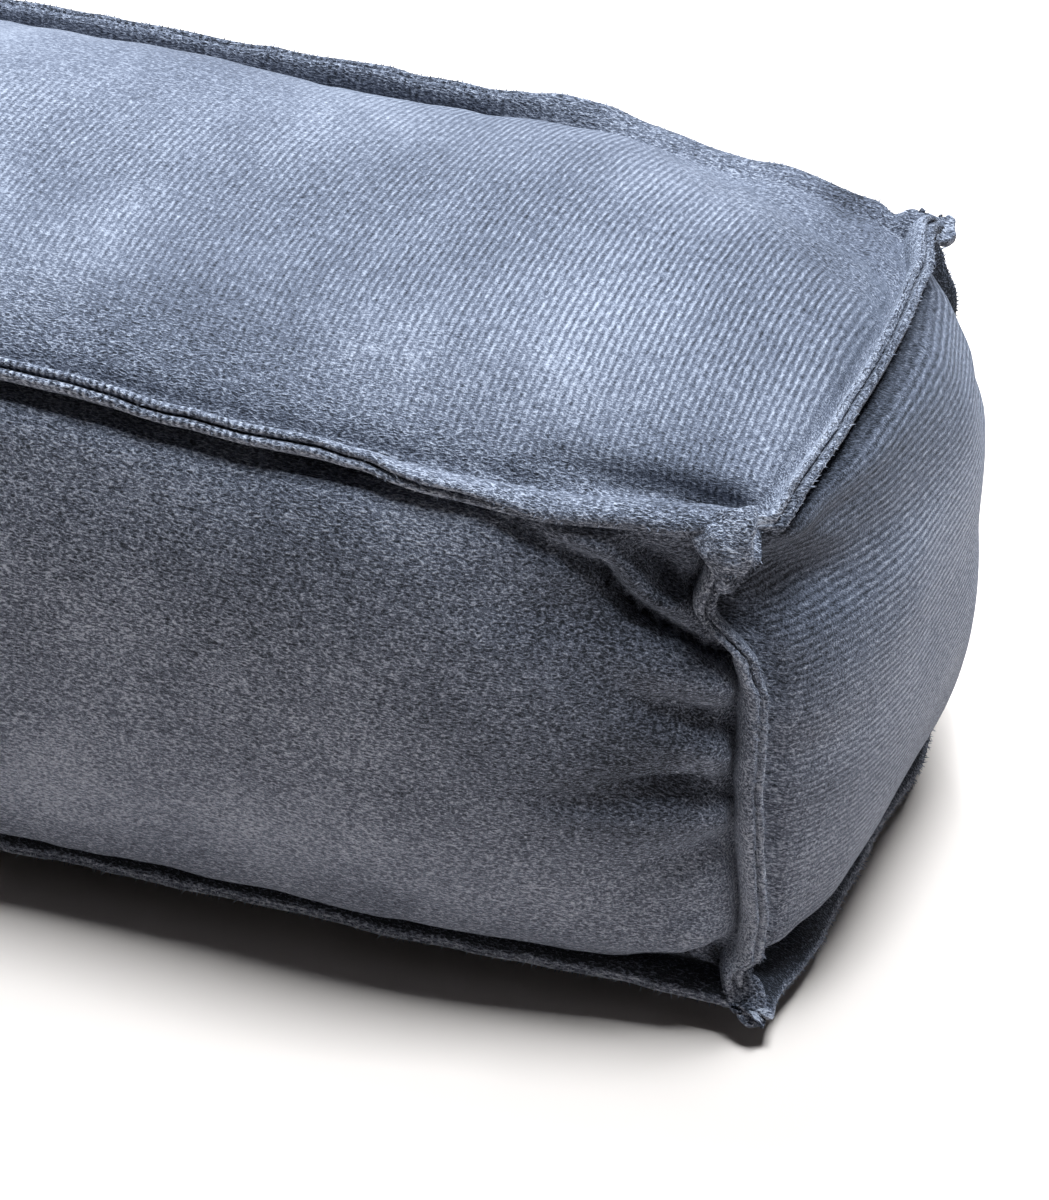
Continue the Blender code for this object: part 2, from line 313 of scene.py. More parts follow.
# how a stitch line leaves the plain box. Seams along X are measured from the right end, along
# Y from the front, along Z from the base.
# distance, shift on the first cross axis, on the second, lean of the edge towards the second,
# further turn of its lip, height, sweep of the lip past the corner
plainSeam = ((0, 0, 0, 0, 0, 1, 2), (48, 0, 0, 0, 0, 1, 0), (96, 0, 0, 0, 0, 1, 2))
seamShapes = {
    ("front", "top"): (
        (0, 0, 0, -8, -70, 0.9, 2), (5, 0, 0, -8, -76, 0.95, 1), (12, -0.5, -0.6, -6, -84, 0.98, 0),
        (30, -1, -1.8, -2, -80, 1, 0), (48, -1, -1.8, 0, -46, 0.98, 0), (72, -1, -1.6, 2, -8, 1, 0),
        (135, -1, 1, 2, 0, 1, 0), (880, 0, 0, 0, 0, 1, 2),
    ),
    ("back", "top"): (
        (0, 0, 0.6, -30, 0, 0.7, 1.5), (1.6, 0, 0.2, -44, 0, 0.55, 0), (6, 0, 2, -50, 0, 0.75, 0),
        (21, 0, 3, -52, 0, 0.8, 0), (35, -1, 1.2, -52, 0, 0.85, 0),
        (50, -1, 0.6, -40, 0, 0.9, 0), (64, -1, 0.2, 0, 0, 0.95, 0),
        (80, -1, -1.6, 24, 8, 1, 0), (95, -1, -2.2, 28, 8, 1.05, 0), (125, -1, -2.6, 28, 8, 1.05, 0),
        (155, -1, -1.4, 26, 8, 0.95, 0), (220, -0.5, -0.4, 22, 0, 0.8, 0), (880, 0, 0, 0, 0, 0.9, 2),
    ),
    ("front", "bottom"): (
        (0, 0, 0, -15, 0, 0.95, 2.5), (12, 0, 0, -17, 0, 0.85, 0), (60, -0.5, 0, -18, 0, 0.85, 0),
        (820, -0.5, 0, -18, 0, 0.9, 0), (880, 0, 0, -15, 0, 1, 2),
    ),
    ("back", "bottom"): (
        (0, 0, 0, -15, 0, 1, 2), (60, 0, 0, -18, 0, 1, 0),
        (820, 0, 0, -18, 0, 1, 0), (880, 0, 0, -15, 0, 1, 2),
    ),
    ("right", "top"): (
        (0, 1.2, -3.4, 4, -8, 0.8, -1.5), (3, 2.4, -2.1, 9, -8, 0.85, -1.5), (8, 3.3, -1.1, 14, -4, 0.9, 0),
        (30, 5.7, -0.8, 17, 0, 0.82, 0), (60, 6.3, -0.8, 17, 0, 0.82, 0), (84, 5, -1.3, 17, 0, 0.85, 0),
        (96, 1.2, -0.8, 4, 0, 0.85, 2),
    ),
    ("right", "bottom"): (
        (0, 1.2, 0, -12, 0, 1, 2.5), (15, 3.8, 0, -12, 0, 1, 0),
        (65, 5, 0, -12, 0, 1, 0), (96, 0, 0, -12, 0, 1, 2),
    ),
    ("left", "bottom"): ((0, 0, 0, -12, 0, 1, 2), (48, 0, 0, -12, 0, 1, 0), (96, 0, 0, -12, 0, 1, 2)),
    ("left", "top"): plainSeam, ("left", "front"): plainSeam, ("left", "back"): plainSeam,
    ("right", "back"): (
        (0, 0, 0, 0, 0, 1, 2), (48, 0, 0, 0, 0, 1, 0), (70, 2.6, 0, 0, 0, 1, 0), (82, 3, 0, 0, 0, 1, 0),
        (91, 1, 0, 0, 0, 1, 0), (96, -0.8, 0, 0, 0, 1, 0),
    ),
    ("right", "front"): (
        (0, -2.6, 0, 6, 0, 0.9, 1.5), (3.5, -2.8, 0, 10, 0, 0.95, 0), (8.5, 0.3, -0.3, 4, 0, 1, 0),
        (17, 0.5, 0, -4, 0, 1, 0), (30, 0, 0, -6, 0, 1, 0), (64, 0.2, 0, -6, 0, 1, 0),
        (70, -1.2, 0, -2, 0, 1, 0), (81, -8, 0, 14, 0, 1, 0), (88, -6, 0.5, 18, 0, 1, 0),
        (96, 0, 0.5, 20, 0, 0.9, -4),
    ),
}

# thickness and slit of the pinched edges against the plain edge, thickness at the right end, and
# painted light towards the lip: a painted highlight on the lit lips, painted shade on the back edges
edgeBuilds = {
    ("front", "top"): (0.78, 0.2, 1.15, 0.08), ("right", "top"): (0.78, 0.8, 0.78, 0.21),
    ("right", "front"): (0.78, 0.25, 0.8, 0.26), ("front", "bottom"): (0.7, 0.4, 0.8, 0.1),
    ("right", "bottom"): (0.7, 0.4, 0.8, 0.12), ("right", "back"): (0.8, 0.5, 0.8, -0.3),
    ("back", "top"): (0.85, 0.5, 0.85, -0.13),
}
endBuildReach = 55  # mm from the right end
slitLevels = 3  # rows of the edge over which its two layers part
# swing of the long stitch lines in mm, and small changes of all edges in degrees, shares and mm
longWave = {"height": 0.8, "lengths": (173, 109)}
edgeWander = {"lean": 5, "height": 0.06, "gap": 0.35, "length": 17, "heightPace": 1.7, "gapPace": 0.8}
edgeRipple = {"lean": 2.2, "height": 0.04, "length": 4.5}

# creases as lines over a panel: points from the right end (on the end panel from its front) and
# from the lower or front stitch line, rise at both ends, half width at both ends
creases = {
    "front": (
        (((38, 98), (25.4, 94.1), (17.1, 90.2), (7.6, 81.5), (4, 77), (0, 73.5)), (-1.8, -6.6), (1.3, 1.5)),
        (((15, 96), (8, 91.5), (3, 87)), (-1.6, -4.6), (1.5, 1.7)),
        (((28, 97), (14, 93), (4, 82.6)), (1.4, 3.4), (2, 2.2)),
        (((15, 74), (5, 69.5), (0, 67)), (0.8, 3), (3.5, 3)),
        (((16, 66.5), (6, 62.8), (0, 59.5)), (-0.4, -4), (2, 1.8)),
        (((15, 58), (4, 55.5), (0, 52)), (0.5, 2.6), (4, 3)),
        (((28, 44), (14.7, 46), (7.8, 46.8), (0, 45)), (-1.2, -6.6), (1.8, 1.5)),
        (((20, 38), (0, 39)), (0.4, 1.8), (4.5, 3.2)),
        (((18, 25), (0, 33.5)), (-0.4, -2.6), (4, 2.8)),
        (((14, 1), (6.8, 3), (0, 8)), (-1.2, -6.5), (2.6, 2.6)),
        (((16, 9), (5, 13)), (0.3, 1.6), (4, 3)),
    ),
    "top": (
        (((41, 96), (29, 97), (18.6, 88), (7.8, 87.5), (1, 83)), (-0.6, -2.2), (3, 4.5)),
        (((165, 84), (130, 84)), (0.4, 2.8), (13, 13)),
        (((36, 3.4), (16, 2.6), (4, 2.6)), (-1, -6), (1.8, 2)),
    ),
    "right": (
        (((2, 90), (10, 84), (20, 76)), (-2.6, -0.3), (3, 4)),
        (((5, 97), (14, 90), (22, 84)), (1.6, 0.3), (3, 4)),
        (((96, 86), (80, 74)), (-2.6, -0.4), (4, 4)),
    ),
}
creaseShape = {"power": 1.7, "clear": 2.2}  # of its fall to both sides, and mm from the stitches

# puckers beside the stitch lines, in mm; stronger beside the named seams
puckers = {
    "height": 0.42,
    "spacing": 8.5,
    "reach": 9,
    "clear": 2.2,
    "drift": 45,  # distance from the stitches over which they change
    "fine": {"height": 0.5, "pace": 2.3, "drift": 30},  # smaller ones between
    "strong": {("right", "front"): 1.6},
}


def panelNamed(axis, side):
    return next(name for name, place in panels.items() if place == (axis, side))


def byAxis(names):
    return tuple(sorted(names, key=lambda name: panels[name][0]))


def crossAxes(axis):
    return (other for other in axes if other != axis)


spacingSteps = 4000  # along a side, over which its spacing is summed


def sharesFrom(spacing, cells):
    # shares of a side at which the mesh is cut, with the table's spacing
    places = np.linspace(0, spacing[-1][0], spacingSteps)
    gaps = np.interp(places, [row[0] for row in spacing], [row[1] for row in spacing])
    counted = np.concatenate([[0], np.cumsum(np.diff(places) / ((gaps[1:] + gaps[:-1]) / 2))])
    wanted = np.linspace(0, counted[-1], cells + 1)
    return np.interp(wanted, counted, places) / spacing[-1][0]


sectionShares = sharesFrom(sectionSpacing, cover["sectionCells"])
lengthShares = 1 - sharesFrom(lengthSpacing, cover["lengthCells"])[::-1]
shares = (lengthShares, sectionShares, sectionShares)
cells = tuple(len(row) - 1 + 2 * stitchLevel for row in shares)


@lru_cache(maxsize=None)
def cornerBetween(names):
    sides = [panels[name][1] for name in names]
    height = cover["topSeam"] if sides[zAxis] > 0 else cover["baseSeam"]
    plain = np.array((sides[xAxis] * cover["length"] / 2, sides[yAxis] * cover["depth"] / 2, height))
    return plain, np.array(cornerShifts[names])


def seamRow(names, share, runAxis):
    rows = seamShapes[names]
    distance = (share if runAxis != xAxis else 1 - share) * rows[-1][0]
    for low, high in zip(rows, rows[1:]):
        if distance <= high[0]:
            step = float(smooth((distance - low[0]) / (high[0] - low[0])))
            return tuple(mix(low[column], high[column], step) for column in range(1, 7))
    return rows[-1][1:]


@lru_cache(maxsize=None)
def seamFrame(names, share):
    # centre of a stitch line, the two ways in which its edge turns, the angle of its root between
    # them, the turn of its lip, its height and opening, and the sweep of its lip along the seam
    (firstAxis, firstSide), (secondAxis, secondSide) = (panels[name] for name in names)
    runAxis = ({*axes} - {firstAxis, secondAxis}).pop()
    low, lowShift = cornerBetween(byAxis((*names, panelNamed(runAxis, -1))))
    high, highShift = cornerBetween(byAxis((*names, panelNamed(runAxis, 1))))
    firstShift, secondShift, lean, turn, size, sweep = seamRow(names, share, runAxis)
    reach = np.linalg.norm(high - low) / cover["cornerReach"]
    centre = mix(low, high, share) + lowShift * smooth(1 - share * reach)
    centre = centre + highShift * smooth(1 - (1 - share) * reach)
    centre[firstAxis] += firstShift
    centre[secondAxis] += secondShift
    along = centre[runAxis]
    if runAxis == xAxis:
        fade = math.sin(math.pi * share)
        longTurn, shortTurn = (2 * math.pi * along / span for span in longWave["lengths"])
        centre[zAxis] += longWave["height"] * fade * math.sin(longTurn + firstSide) * (secondSide > 0)
        centre[yAxis] += longWave["height"] * fade * math.sin(shortTurn + secondSide)
    seed = 1 + 3 * (firstAxis * 2 + firstSide) + 5 * (secondAxis * 2 + secondSide)

    def wander(place, row, step):
        return float(softNoise(np.float64(place), row, seed + step))

    wave, ripple = along / edgeWander["length"], along / edgeRipple["length"]
    lean += edgeWander["lean"] * wander(wave, 0.3, 0)
    lean += edgeRipple["lean"] * wander(ripple, 0.4, 3)
    size *= 1 + edgeWander["height"] * wander(wave * edgeWander["heightPace"], 0.6, 1)
    size *= 1 + edgeRipple["height"] * wander(ripple, 0.7, 4)
    gap = edgeWander["gap"] * (1 + wander(wave * edgeWander["gapPace"], 0.2, 2))
    swept = np.zeros(3)
    swept[runAxis] = sweep if share > 0.5 else -sweep
    ways = np.zeros((2, 3))
    ways[0, firstAxis], ways[1, secondAxis] = firstSide, secondSide
    return centre, ways, math.radians(45 + lean), math.radians(turn), size, gap, swept


def edgeCentre(names, share, level):
    # middle of the two layers of a pinched edge, which bends by the lip's turn on its way out
    centre, ways, root, turn, size, _, swept = seamFrame(names, share)
    part = edgeSection[level][0] / lipHeight
    middle = root + turn * part / 2
    chord = edgeSection[level][0] * size * float(np.sinc(turn * part / 2 / math.pi))
    bent = ways[0] * math.cos(middle) + ways[1] * math.sin(middle)
    return centre + bent * chord + swept * part


def edgePoint(names, share, panel, level):
    _, ways, root, turn, _, gap, _ = seamFrame(names, share)
    angle = root + turn * edgeSection[level][0] / lipHeight
    across = ways[1] * math.cos(angle) - ways[0] * math.sin(angle)
    thickness, opening, endThickness, _ = edgeBuilds.get(names, (1, 1, 1, 0))
    if "right" not in names:
        nearEnd = smooth(1 - (1 - share) * cover["length"] / endBuildReach)
        thickness = mix(thickness, endThickness, nearEnd)
    lip = max(0, 1 - abs(level - lipLevel + 0.5) / slitLevels)
    half = edgeSection[level][1] * thickness + gap * opening * lip
    towards = 1 if panel == names[1] else -1
    return edgeCentre(names, share, level) + across * half * towards


def cornerPoint(names, panel, level):
    sides = np.array([panels[name][1] for name in names], float)
    middle = np.zeros(3)
    for axis in axes:
        seam = tuple(name for name in names if panels[name][0] != axis)
        middle += edgeCentre(seam, float(sides[axis] > 0), level) / 3
    height, halfThickness = edgeSection[level]
    axis = panels[panel][0]
    across = -sides
    across[axis] = 2 * sides[axis]
    tip = np.array(cornerTips.get(names, (0, 0, 0))) * height / lipHeight
    return middle + tip + unit(across) * halfThickness


@lru_cache(maxsize=None)
def rimPoint(names, share, panel):
    if 0 < share < 1:
        return edgePoint(names, share, panel, stitchLevel)
    runAxis = ({*axes} - {panels[name][0] for name in names}).pop()
    end = panelNamed(runAxis, 1 if share > 0.5 else -1)
    return cornerPoint(byAxis((*names, end)), panel, stitchLevel)


def arch(share, lowShoulder, highShoulder):
    shoulder = mix(lowShoulder, highShoulder, smooth(2 * share - 0.5))
    return np.maximum(1 - np.abs(2 * share - 1) ** cover["roundness"], 0) ** shoulder


def creaseRise(panel, along, up):
    # height in mm of the creases over a grid of places on one panel
    rise = np.zeros_like(along)
    for points, heights, widths in creases.get(panel, ()):
        runs = list(zip(points, points[1:]))
        lengths = [math.dist(start, end) for start, end in runs]
        nearest = np.full_like(along, 1e9)
        place = np.zeros_like(along)
        passed = 0
        for (start, end), runLength in zip(runs, lengths):
            runX, runY = end[0] - start[0], end[1] - start[1]
            share = ((along - start[0]) * runX + (up - start[1]) * runY) / runLength ** 2
            share = np.clip(share, 0, 1)
            distance = np.hypot(along - start[0] - share * runX, up - start[1] - share * runY)
            closer = distance < nearest
            nearest = np.where(closer, distance, nearest)
            place = np.where(closer, (passed + share * runLength) / sum(lengths), place)
            passed += runLength
        width = mix(widths[0], widths[1], place)
        rise += mix(heights[0], heights[1], place) * np.exp(-((nearest / width) ** creaseShape["power"]))
    return rise


def panelInside(panel):
    # grid of points of a panel between its stitch lines
    axis, side = panels[panel]
    uAxis, vAxis = crossAxes(axis)
    u, v = shares[uAxis], shares[vAxis]
    uSize = cover["length"] if uAxis == xAxis else cover["depth"]

    def rims(otherAxis, along):
        seams = [byAxis((panel, panelNamed(otherAxis, end))) for end in (-1, 1)]
        return [np.array([rimPoint(seam, float(share), panel) for share in along]) for seam in seams]

    def bowed(rim, along):
        return rim - (rim[:1] * (1 - along[:, None]) + rim[-1:] * along[:, None])

    low, high = rims(vAxis, u)
    first, last = rims(uAxis, v)
    across = v[None, :, None]
    grid = low[:, None] * (1 - across) + high[:, None] * across
    fadeFirst = smooth(1 - u * uSize / cover["bowReach"])[:, None, None]
    fadeLast = smooth(1 - (1 - u) * uSize / cover["bowReach"])[:, None, None]
    grid = grid + bowed(first, v)[None] * fadeFirst + bowed(last, v)[None] * fadeLast
    sagged = v + cover["sag"].get(panel, 0) * np.sin(np.pi * v)
    lowShoulder, highShoulder = cover["shoulders"].get(panel, cover["steep"])
    uGrid, vGrid = np.meshgrid(u, v, indexing="ij")
    if uAxis == xAxis:
        along = (1 - uGrid) * uSize
        highShoulder = np.full_like(uGrid, highShoulder)
        if panel == "top":
            highShoulder = mix(highShoulder, cover["even"], smooth(1 - along / cover["facetReach"]))
        endReach, endSlope = cover["endRise"][panel]
        endShare = np.minimum(np.minimum(uGrid, 1 - uGrid) * uSize / endReach, 1) / 2
        fullness = arch(endShare, endSlope, endSlope)
    else:
        along = uGrid * uSize
        led = uGrid + cover["endLead"] * np.sin(np.pi * uGrid)
        fullness = arch(led, *cover["steep"])
    fullness = fullness * arch(np.broadcast_to(sagged, uGrid.shape), lowShoulder, highShoulder)
    up = vGrid * cover["depth"]
    grid[:, :, axis] += side * cover["crown"][panel] * fullness
    normal = np.cross(np.gradient(grid, axis=0), np.gradient(grid, axis=1))
    normal /= np.linalg.norm(normal, axis=2, keepdims=True)
    normal *= np.sign(side * normal[:, :, axis:axis + 1].mean())
    rimDistances = (
        (uGrid * uSize, up, (uAxis, -1)),
        ((1 - uGrid) * uSize, up, (uAxis, 1)),
        (up, uGrid * uSize, (vAxis, -1)),
        ((1 - vGrid) * cover["depth"], uGrid * uSize, (vAxis, 1)),
    )
    clear = np.min([row[0] for row in rimDistances], axis=0)
    seed = 11 + 7 * axis + side
    rise = creaseRise(panel, along, up) * smooth(clear / creaseShape["clear"])
    rise += cover["rollRise"] * (clear / cover["rollReach"]) * np.exp(1 - clear / cover["rollReach"])
    for wavelength, height in cover["undulation"]:
        seed += 1
        wave = softNoise(along / wavelength + 9, up / wavelength + 3, seed)
        rise += height * wave * smooth(clear / cover["undulationClear"])
    fine = puckers["fine"]
    for number, (distance, place, (otherAxis, end)) in enumerate(rimDistances, seed):
        seam = byAxis((panel, panelNamed(otherAxis, end)))
        strength = puckers["height"] * puckers["strong"].get(seam, 1)
        place = place / puckers["spacing"]
        wave = softNoise(place + 5, distance / puckers["drift"] + 2, number)
        wave = wave + fine["height"] * softNoise(place * fine["pace"], distance / fine["drift"], number + 9)
        rise += strength * wave * np.exp(-distance / puckers["reach"]) * smooth(distance / puckers["clear"])
    return grid + normal * rise[:, :, None]


def panelGrid(panel):
    # a panel with its share of the pinched edges round it
    axis, side = panels[panel]
    uAxis, vAxis = crossAxes(axis)
    uCells, vCells = cells[uAxis], cells[vAxis]
    last = stitchLevel
    ends = (-1, 1)
    grid = np.zeros((uCells + 1, vCells + 1, 3))
    grid[last:uCells + 1 - last, last:vCells + 1 - last] = panelInside(panel)
    for (metAxis, runAxis), end in product(((uAxis, vAxis), (vAxis, uAxis)), ends):
        seam = byAxis((panel, panelNamed(metAxis, end)))
        for level in range(last):
            out = level if end < 0 else cells[metAxis] - level
            for step, share in enumerate(shares[runAxis], last):
                place = (out, step) if metAxis == uAxis else (step, out)
                grid[place] = edgePoint(seam, float(share), panel, level)
    for endU, endV in product(ends, ends):
        sidesMet = (panelNamed(uAxis, endU), panelNamed(vAxis, endV))
        names = byAxis((panel, *sidesMet))
        for uLevel, vLevel in product(range(last + 1), repeat=2):
            if uLevel == last and vLevel == last:
                continue
            row = uLevel if endU < 0 else uCells - uLevel
            column = vLevel if endV < 0 else vCells - vLevel
            level, far = min(uLevel, vLevel), max(uLevel, vLevel)
            along, neighbour = (endV, sidesMet[0]) if uLevel <= vLevel else (endU, sidesMet[1])
            seamEnd = edgePoint(byAxis((panel, neighbour)), float(along > 0), panel, level)
            share = (far - level) / (last - level)
            grid[row, column] = mix(cornerPoint(names, panel, level), seamEnd, share)
    grid[:, :, xAxis] += cover["middleShift"][0]
    grid[:, :, yAxis] += cover["middleShift"][1]
    grid[:, :, zAxis] = np.maximum(grid[:, :, zAxis], 0)
    return grid * mm


mostCuts = 100  # the subdivide operator takes no more at once


def addCutBox(name, cellCounts):
    # a cube cut into even cells along each axis, in edit mode
    deselectAll()
    bpy.ops.mesh.primitive_cube_add(size=1)
    obj = bpy.context.active_object
    obj.name = name
    bpy.context.tool_settings.mesh_select_mode = (False, True, False)
    for axis, count in enumerate(cellCounts):
        while count > 1:
            parts = (part for part in range(2, count) if count % part == 0)
            step = count if count <= mostCuts else next(parts)
            count //= step
            mesh = obj.data
            points = readAll(mesh.vertices, "co", 3)
            run = np.abs(np.diff(points[readAll(mesh.edges, "vertices", 2, int)], axis=1))[:, 0]
            for items in (mesh.vertices, mesh.polygons):
                items.foreach_set("select", np.zeros(len(items), bool))
            mesh.edges.foreach_set("select", run[:, axis] > 1e-5)
            bpy.ops.object.mode_set(mode="EDIT")
            bpy.ops.mesh.subdivide(number_cuts=step - 1)
            bpy.ops.object.mode_set(mode="OBJECT")
    return obj


# tone of the pile on each panel, from 0 dark to 1 light: its lie, and painted light that makes the top
# and the right end lighter than the rest
panelTones = {"top": 0.545, "right": 0.5, "front": 0.485, "back": 0.485, "left": 0.485, "bottom": 0.485}
# painted shade and light over it, in soft spots: darker under the pinched edges, in the folds and on
# faces turned from the lamps, lighter where more light falls, as on the lower front and the middle of
# the right end; distance from the right end (on the end panel from its front), height or depth, reach
# across and up, and the change of tone
paintedLightAndNapPlaces = {
    "top": (
        ((20, 70), (24, 26), -0.06), ((60, 45), (34, 28), -0.07), ((11, 99), (5, 3), -0.25),
        ((48, 38), (45, 22), -0.06), ((12, 50), (16, 50), -0.06), ((20, 4), (45, 12), -0.12),
        ((115, 6), (70, 12), -0.08), ((8, 84), (14, 14), -0.06), ((150, 50), (60, 25), 0.03),
        ((50, 92), (35, 12), -0.03),
    ),
    "front": (
        ((0, 46), (14, 3), -0.12), ((0, 60), (10, 3), -0.1), ((8, 82), (9, 4), -0.1),
        ((115, 84), (80, 14), -0.07), ((113, 22), (90, 16), 0.09), ((55, 20), (40, 14), 0.09),
        ((60, 58), (30, 20), -0.05), ((14, 58), (16, 26), -0.25), ((22, 90), (26, 12), -0.1),
    ),
    "right": (
        ((30, 98), (60, 16), -0.26), ((4, 82), (14, 26), -0.23), ((16, 30), (26, 22), 0.09),
        ((50, 60), (32, 22), 0.18), ((78, 60), (20, 40), 0.06), ((102, 84), (7, 22), -0.4),
    ),
}
creviceTone = -0.6  # the roots of the lower edges lie in the shade of the panels over them
creviceRows = 3  # rows of the mesh above those roots that share it
# where the pile is combed smoother or rougher than usual, in the same form as paintedLightAndNapPlaces
roughPlaces = {
    "top": (((200, 84), (110, 20), -0.7), ((20, 96), (60, 10), -0.2), ((180, 20), (110, 22), -0.25)),
    "front": (((113, 20), (110, 18), -0.35), ((140, 80), (120, 20), 0.2)),
    "right": (((60, 50), (80, 40), 0.2),),
}
edgeRoughness = 0.15  # the pile stands up more along the lips
# teeth: the ribs' ends on the long upper lips
toothSpan = (42, 102)  # mm from the right end, where they come out of the brushed pile
backTeeth = 0.4  # against the front lip's
# how clearly the ribs show, from 0 to 1, in shares of the depth or mm from the right end
ribShow = {
    "nearRim": (0, 1 / 15),  # the top beside its front stitches, near the right end
    "nearBand": (1 / 30, 11 / 30),
    "nearClear": (0.5, 0.95),
    "farRim": (0.04, 0.24),  # the same further away
    "farFrom": (45, 135),
    "fadeBy": 150,
    "fadeClear": 0.6,
    "crestSpan": (0.575, 0.825),  # brushed strip beside the top's back stitches
    "crestFrom": (78, 138),
    "crestClear": 0.1,
    "cornerFrom": (0.7, 22),  # brushed patch at the top's back corner: a point on its rim
    "cornerSlant": 144,
    "cornerSpan": 0.125,
    "cornerClear": 0.25,
    "endClear": (0.75, 1),  # end panel, from its base to its top
    "endFront": (0, 0.4),
    "endFrontClear": 0.6,
    "plainClear": 0.1,
    "edgeClear": 0.05,
}


def coverPlaces(index):
    # distance from the right end in mm, shares from front to back and from base to top
    along, back, up = (
        np.interp(index[:, axis], np.arange(stitchLevel, cells[axis] - stitchLevel + 1), shares[axis])
        for axis in axes
    )
    return (1 - along) * cover["length"], back, up


def onPanel(index, panel):
    axis, side = panels[panel]
    return index[:, axis] == (cells[axis] if side > 0 else 0)


def panelMasks(index):
    masks = {}
    taken = np.zeros(len(index), bool)
    for panel in ("top", "right", "front", "back", "left", "bottom"):
        on = onPanel(index, panel)
        masks[panel] = on & ~taken
        taken |= on
    return masks


def edgeDepth(index):
    # 0 on the panels, 1 at the stitch lines and 2 at the lips of the pinched edges
    inward = np.sort(np.minimum(index, np.array(cells) - index), axis=1)[:, 1]
    return np.interp(inward, (0, lipLevel + 1, stitchLevel, stitchLevel + 2), (2, 2, 1, 0))


def nearEdge(index, names):
    # 1 at the lips of one pinched edge, 0 where its stitches are
    share = np.ones(len(index))
    for name in names:
        axis, side = panels[name]
        inward = cells[axis] - index[:, axis] if side > 0 else index[:, axis]
        share *= smooth((stitchLevel - inward) / (stitchLevel - lipLevel))
    return share


def lipTeeth(index):
    along = np.maximum(nearEdge(index, ("front", "top")), backTeeth * nearEdge(index, ("back", "top")))
    return along * ramp(coverPlaces(index)[0], *toothSpan)


def ribClearness(index, look):
    fromRight, backShare, upShare = coverPlaces(index)
    masks = panelMasks(index)
    near = ramp(backShare, *look["nearRim"])
    near = near * mix(*look["nearClear"], ramp(backShare, *look["nearBand"]))
    far = ramp(backShare, *look["farRim"])
    clearTop = mix(near, far, ramp(fromRight, *look["farFrom"]))
    clearTop = clearTop * mix(1, look["fadeClear"], ramp(fromRight, 0, look["fadeBy"]))
    crest = ramp(backShare, *look["crestSpan"]) * ramp(fromRight, *look["crestFrom"])
    cornerShare, cornerPlace = look["cornerFrom"]
    cornerRim = cornerShare + (fromRight - cornerPlace) / look["cornerSlant"]
    corner = ramp(backShare - cornerRim, 0, look["cornerSpan"])
    clearTop = clearTop * mix(1, look["crestClear"], crest) * mix(1, look["cornerClear"], corner)
    clearEnd = mix(look["endFrontClear"], 1, ramp(backShare, *look["endFront"]))
    clearEnd = clearEnd * mix(*look["endClear"], upShare)
    clear = np.where(masks["right"], clearEnd, look["plainClear"])
    clear = np.where(masks["top"], clearTop, clear)
    return mix(clear, look["edgeClear"], smooth(edgeDepth(index)))


def placedChanges(index, places):
    # sum of the soft spots of a table over the lattice
    fromRight, backShare, upShare = coverPlaces(index)
    masks = panelMasks(index)
    total = np.zeros(len(index))
    for panel, spots in places.items():
        place = backShare * cover["depth"] if panel == "right" else fromRight
        height = (backShare if panel == "top" else upShare) * cover["depth"]
        for (along, up), (reach, rise), change in spots:
            bell = np.exp(-((place - along) / reach) ** 2 - ((height - up) / rise) ** 2)
            total += np.where(masks[panel], change * bell, 0)
    return total


def paintedLightAndNapTones(index):
    # the pile's lie with painted light: lighter panels, soft painted spots of shade and light, a painted
    # highlight on the lit lips, painted shade on the back edges and at the roots of the lower edges
    masks = panelMasks(index)
    tone = sum(masks[panel] * panelTone for panel, panelTone in panelTones.items())
    tone = tone + placedChanges(index, paintedLightAndNapPlaces)
    depth = edgeDepth(index)
    for names, (*_, change) in edgeBuilds.items():
        tone += change * nearEdge(index, names)
    low = (index[:, zAxis] <= stitchLevel + creviceRows) & ~masks["bottom"]
    # full at the stitches and gone at the very lip
    return tone + np.where(low, creviceTone * smooth(depth * 1.3) * smooth(12 - 6 * depth), 0)


